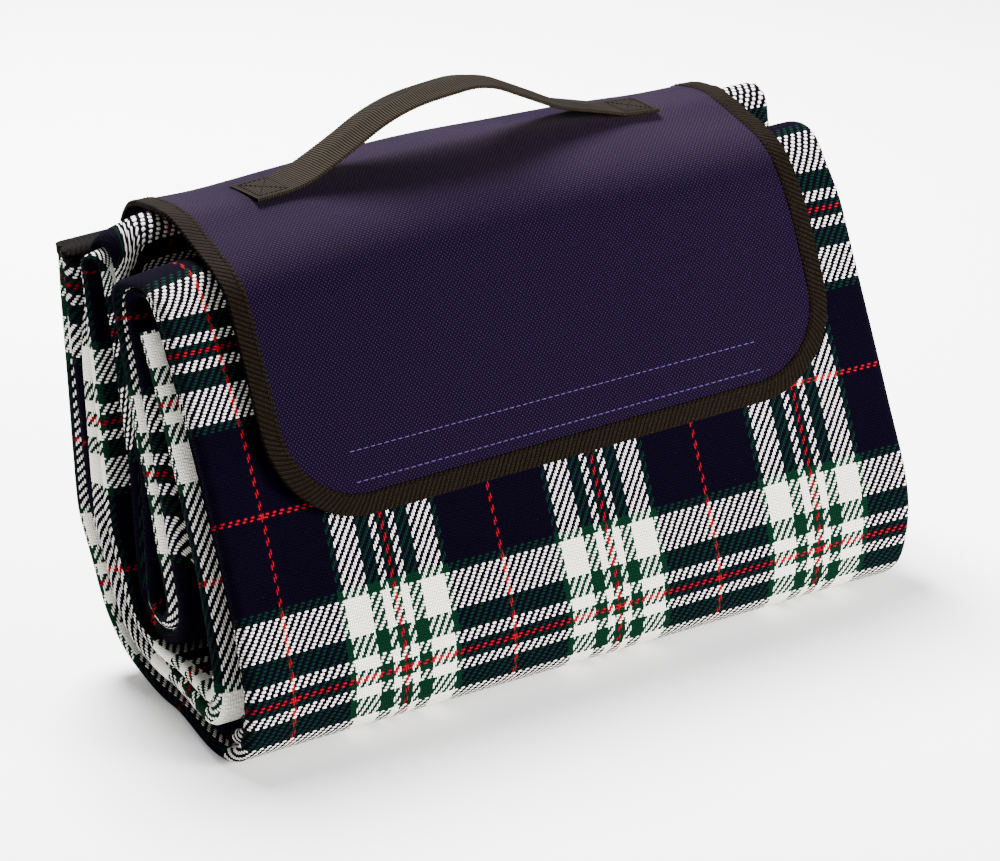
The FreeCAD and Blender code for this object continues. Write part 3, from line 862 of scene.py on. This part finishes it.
def outline(inset):
    """Round the flap's edge from the rear left to the rear right: x, w and the distance along the edge."""
    corner = FLAP_CORNER - inset
    side = FLAP_HALF - inset
    low = flap.length - FLAP_CORNER
    start = 0.5 * MM
    turn = np.linspace(0.0, 0.5, 38) * math.pi
    down = np.linspace(start, low, 90)
    along_front = np.linspace(-(side - corner), side - corner, 108)
    x = np.concatenate([np.full(len(down), -side), -(side - corner) - corner * np.cos(turn[1:]),
                        along_front[1:-1], (side - corner) + corner * np.sin(turn[:-1]),
                        np.full(len(down), side)])
    w = np.concatenate([down, low + corner * np.sin(turn[1:]), np.full(len(along_front) - 2, low + corner),
                        low + corner * np.cos(turn[:-1]), down[::-1]])
    along = np.concatenate([[0.0], np.cumsum(np.hypot(np.diff(x), np.diff(w)))])
    return FLAP_MIDDLE + x, w, along


def build_flap_tape(material):
    """The tape folded over the flap's edge, a little puckered by its stitches."""
    fold_over = np.linspace(0.5, -0.5, 9) * math.pi
    middle = FLAP_THICK / 2.0
    half = middle + BINDING
    insets = [10.0, 9.6, 8.0, 6.0, 4.0, 2.0, 1.0]
    inset = np.concatenate([np.array(insets) * MM, 0.6 * MM * (1.0 - np.cos(fold_over)),
                            np.array(insets[::-1]) * MM])
    flat = len(insets)
    height = np.concatenate([[middle + 0.6 * half], np.full(flat - 1, half + middle),
                             middle + half * np.sin(fold_over),
                             np.full(flat - 1, middle - half), [middle - 0.6 * half]])
    along = outline(0.0)[2]
    rings = []
    for ring_inset, ring_height in zip(inset, height):
        x, w, _ = outline(ring_inset)
        pucker = 0.22 * MM * ripple(4, along, ring_inset * 3.0, 0.011) * np.sign(ring_height - middle)
        rings.append(flap_surface(x, w, ring_height + pucker))
    points = np.stack(rings, axis=1)
    around = np.concatenate([[0.0], np.cumsum(np.hypot(np.diff(inset), np.diff(height)))])
    cloth = flat_coordinates(along[:, None], around[None, :])
    piece = grid_piece("flap_edge_tape", points, cloth, material)
    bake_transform(piece)
    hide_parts("flap_binding_top", "flap_binding_front")


# The flap's binding is the lit copy of the twill, with brighter painted highlights than the hem tapes.
build_flap_tape(binding_material("binding_twill", (0.032, 0.020, 0.010, 1.0)))


# The way that a thread's cross-section faces: up and to the front.
THREAD_UP = (0.0, -0.45, 0.9)


def stitch_row(bundle, place, start, end, pitch, share, radius, rise):
    """A row of stitches: place(distance, height) gives each point, and each stitch dips in at its ends.
    A stitch takes up this share of its pitch."""
    count = int((end - start) / pitch)
    for index in range(count):
        head = start + index * pitch
        along = np.linspace(head, head + share * pitch, 5)
        height = rise * np.array([-0.6, 0.55, 0.8, 0.55, -0.6])
        path = place(along, height)
        bundle.thread(path, radius, THREAD_UP)


def finish_stitches(bundle, name, material, nodes, bodies):
    piece = bundle.piece(name, material)
    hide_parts(*nodes)
    if len(bodies) == 1:
        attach(piece, bodies[0])
    else:
        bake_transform(piece)


THREAD_GRAIN = 2500.0
lilac = plain_material("lilac_thread", (0.032, 0.020, 0.075, 1.0), (0.085, 0.055, 0.16, 1.0), THREAD_GRAIN,
                       0.8, specular=0.05)
dark_thread = plain_material("dark_thread", (0.0015, 0.001, 0.0012, 1.0), (0.006, 0.004, 0.004, 1.0),
                             THREAD_GRAIN, 0.8, specular=0.05)

edge_x, edge_w, edge_along = outline(8.0 * MM)


def edge_place(along, height):
    """A place on the binding's stitch line."""
    x = np.interp(along, edge_along, edge_x)
    w = np.interp(along, edge_along, edge_w)
    return flap_surface(x, w, FLAP_THICK + BINDING + height)


edge_rows = Bundle()
stitch_row(edge_rows, edge_place, 2.0 * MM, edge_along[-1] - 2.0 * MM,
           pitch=3.0 * MM, share=0.72, radius=0.22 * MM, rise=0.22 * MM)
finish_stitches(edge_rows, "binding_stitches", dark_thread,
                ("binding_stitching_top", "binding_stitching_front"), ("flap_top", "flap_front"))

FASTENER_RISE = 24.0 * MM
FASTENER_HALF = 118.0 * MM
FASTENER_TALL = 20.0 * MM
ROW_GAP = 15.0 * MM
HOOK_THICK = 1.3 * MM
STITCH_START = FLAP_MIDDLE - FASTENER_HALF + 3.0 * MM
STITCH_END = FLAP_MIDDLE + FASTENER_HALF - 3.0 * MM
tape_w = flap.length - FASTENER_RISE
hook_rows = Bundle()
for row_w in (tape_w - 5.2 * MM, tape_w + 8.5 * MM):
    stitch_row(hook_rows, lambda along, height, w=row_w: flap_surface(along, w, FLAP_THICK + height),
               STITCH_START, STITCH_END, pitch=3.6 * MM, share=0.76, radius=0.21 * MM, rise=0.2 * MM)
finish_stitches(hook_rows, "hook_row_stitches", lilac,
                ("hook_tape_stitching",), ("flap_front",))


def tape_strip(name, place, thick, material, body, node):
    """A flat strip of fastener tape with a soft edge: place(x, rise, height) gives each point."""
    x = run_columns(FLAP_MIDDLE - FASTENER_HALF, FLAP_MIDDLE + FASTENER_HALF, 3.0 * MM)[:, None]
    rise = FASTENER_TALL / 2.0 * np.array([1.0, 1.0, 0.96, 0.5, 0.0, -0.5, -0.96, -1.0, -1.0])[None, :]
    height = thick * np.array([0.0, 0.75, 1.0, 1.0, 1.0, 1.0, 1.0, 0.75, 0.0])[None, :]
    piece = grid_piece(name, place(x, rise, height), flat_coordinates(x, rise), material)
    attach(piece, body)
    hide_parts(node)


fastener = plain_material("fastener_pile", (0.006, 0.005, 0.008, 1.0), (0.022, 0.018, 0.028, 1.0), 1800.0,
                          0.85, sheen=0.3)
loop_v = fold.nearest(FRONT_MARK) + 17.0 * MM


def hook_place(x, rise, height):
    return flap_surface(x, tape_w - rise, 0.1 * MM - height)


def loop_place(x, rise, height):
    return pack_surface(x, HALF_PLY + 0.1 * MM + height, loop_v + rise)


tape_strip("hook_tape_strip", hook_place, HOOK_THICK - 0.2 * MM, fastener, "flap_front", "hook_tape")
tape_strip("loop_tape_strip", loop_place, 1.2 * MM, fastener, "blanket", "loop_tape")
loop_rows = Bundle()
for row_rise in (-ROW_GAP / 2.0, ROW_GAP / 2.0):
    stitch_row(loop_rows, lambda along, height, rise=row_rise: loop_place(along, rise, 1.25 * MM + height),
               STITCH_START, STITCH_END, pitch=2.7 * MM, share=0.74, radius=0.2 * MM, rise=0.2 * MM)
finish_stitches(loop_rows, "loop_row_stitches", dark_thread,
                ("loop_tape_stitching",), ("blanket",))

# ---------------------------------------------------------------- the rear hem

HEM_HEIGHT = 14.0 * MM
HEM_DROP = 1.0 * MM


def build_rear_hem():
    """The flap's folded rear edge, sewn flat on the pack's back with a rolled top."""
    roll = np.linspace(-0.5, 0.5, 9) * math.pi
    near = HALF_PLY + 0.15 * MM
    thick = 2.3 * MM
    drop = np.concatenate([[HEM_HEIGHT, HEM_HEIGHT * 0.55, HEM_HEIGHT * 0.2], -1.2 * MM * np.cos(roll),
                           [HEM_HEIGHT * 0.2, HEM_HEIGHT * 0.55, HEM_HEIGHT * 0.96, HEM_HEIGHT]]) + HEM_DROP
    depth = np.concatenate([[near] * 3, near + thick / 2.0 * (1.0 + np.sin(roll)),
                            [near + thick] * 3, [near + thick * 0.4]])
    x = run_columns(FLAP_MIDDLE - FLAP_HALF, FLAP_MIDDLE + FLAP_HALF, 3.0 * MM)
    points = pack_surface(x[:, None], depth[None, :], drop[None, :])
    around = np.concatenate([[0.0], np.cumsum(np.hypot(np.diff(drop), np.diff(depth)))])
    piece = grid_piece("rear_hem", points, flat_coordinates(x[:, None], around[None, :]), flap_cloth)
    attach(piece, "blanket")
    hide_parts("flap_rear_hem")
    seam = Bundle()
    for row_drop in (HEM_DROP + 3.0 * MM, HEM_DROP + HEM_HEIGHT - 3.0 * MM):
        stitch_row(seam, lambda along, height, v=row_drop: pack_surface(along, near + thick + height, v),
                   FLAP_MIDDLE - FLAP_HALF + 4.0 * MM, FLAP_MIDDLE + FLAP_HALF - 4.0 * MM,
                   pitch=2.7 * MM, share=0.74, radius=0.24 * MM, rise=0.24 * MM)
    finish_stitches(seam, "rear_seam_stitches", lilac,
                    ("flap_seam_stitching",), ("blanket",))


build_rear_hem()

# ---------------------------------------------------------------- the webbing handle

WEBBING_WIDTH = 25.0 * MM
WEBBING_THICK = 1.6 * MM
HANDLE_Y = 112.5 * MM
STRAP_BASE = FLAP_TOP * MM + FLAP_THICK + WEBBING_THICK / 2.0
# The middle of the webbing in (x, z), as it rises from its sewn ends.
STRAP_FLAT = STRAP_BASE / MM
STRAP_ROUTE = Route([
    ((-112.0, STRAP_FLAT), 0.0),
    ((-86.0, STRAP_FLAT), 50.0),
    ((-36.0, STRAP_FLAT + 24.5), 100.0),
    ((13.0, STRAP_FLAT + 28.5), 48.0),
    ((56.0, STRAP_FLAT + 9.5), 60.0),
    ((92.0, STRAP_FLAT), 16.0),
    ((112.0, STRAP_FLAT), 0.0),
], 2.0 * MM)


def build_handle():
    """Flat ribbed webbing: a crest on each rib, and a soft fold along its middle at the top."""
    steps = int(STRAP_ROUTE.length / RIB_PITCH) * 4
    along = np.linspace(0.0, STRAP_ROUTE.length, steps)
    x, z, normal_x, normal_z = STRAP_ROUTE.at(along)
    edge = np.linspace(0.5, -0.5, 7)[1:-1] * math.pi
    flat = np.linspace(-0.5, 0.5, 19)
    across = np.concatenate([flat, 0.5 + 0.02 * np.cos(edge), flat[::-1], -0.5 - 0.02 * np.cos(edge)])
    side = np.concatenate([np.ones(len(flat)), np.sin(edge), -np.ones(len(flat)), -np.sin(edge)])
    rib = 0.16 * MM * np.sin(2.0 * math.pi * along / RIB_PITCH)[:, None] * side[None, :]
    high = smooth(0.0, 1.0, np.clip((z - STRAP_BASE) / (15.0 * MM), 0.0, 1.0))[:, None]
    crease = 1.3 * MM * np.exp(-((across[None, :] + 0.05) / 0.16) ** 2)
    cup = high * (crease - 1.2 * MM * (across[None, :] * 2.0) ** 2)
    height = WEBBING_THICK / 2.0 * side[None, :] + rib + cup
    narrow = 1.0 - 0.03 * high
    drift = 0.9 * MM * ripple(7, along, 0.0, 0.11)[:, None]
    points = to_space(x[:, None] + normal_x[:, None] * height,
                      HANDLE_Y + across[None, :] * WEBBING_WIDTH * narrow + drift,
                      z[:, None] + normal_z[:, None] * height)
    rows, columns = points.shape[:2]
    faces = grid_faces(rows, columns, wrap_columns=True).tolist()
    faces.append(list(range(columns))[::-1])
    faces.append([(rows - 1) * columns + index for index in range(columns)])
    cloth = flat_coordinates(along[:, None], across[None, :] * WEBBING_WIDTH)
    piece = add_mesh("handle_webbing", points.reshape(-1, 3), faces, webbing_material(), cloth.reshape(-1, 3))
    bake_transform(piece)
    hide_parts("handle_end_left", "handle_strap", "handle_end_right")


build_handle()


def strap_top(x, across, height):
    """A place on the upper face of one of the handle's flat ends."""
    base = STRAP_BASE + WEBBING_THICK / 2.0 + 0.1 * MM
    return to_space(x, HANDLE_Y + across, base + height)


def build_box_stitches(name, middle, node):
    """A box of stitches with a cross in it, which holds one end of the handle."""
    rows = Bundle()
    long = 7.5 * MM
    wide = 10.0 * MM
    corners = [(-long, -wide), (long, -wide), (long, wide), (-long, wide)]
    lines = [(corners[index], corners[(index + 1) % 4]) for index in range(4)]
    lines += [(corners[0], corners[2]), (corners[1], corners[3])]
    for start, end in lines:
        start, end = np.array(start), np.array(end)
        length = np.linalg.norm(end - start)

        def place(along, height, start=start, end=end, length=length):
            share = np.clip(along / length, 0.0, 1.0)
            spot = start[None, :] + (end - start)[None, :] * share[:, None]
            return strap_top(middle + spot[:, 0], spot[:, 1], height)

        pitch = length / round(length / (2.6 * MM))
        stitch_row(rows, place, 0.0, length, pitch, share=0.8, radius=0.22 * MM, rise=0.22 * MM)
    finish_stitches(rows, name, dark_thread, (node,), ("flap_top",))


BOX_MIDDLE = 102.0 * MM
build_box_stitches("box_stitches_left", -BOX_MIDDLE, "handle_stitching_left")
build_box_stitches("box_stitches_right", BOX_MIDDLE, "handle_stitching_right")
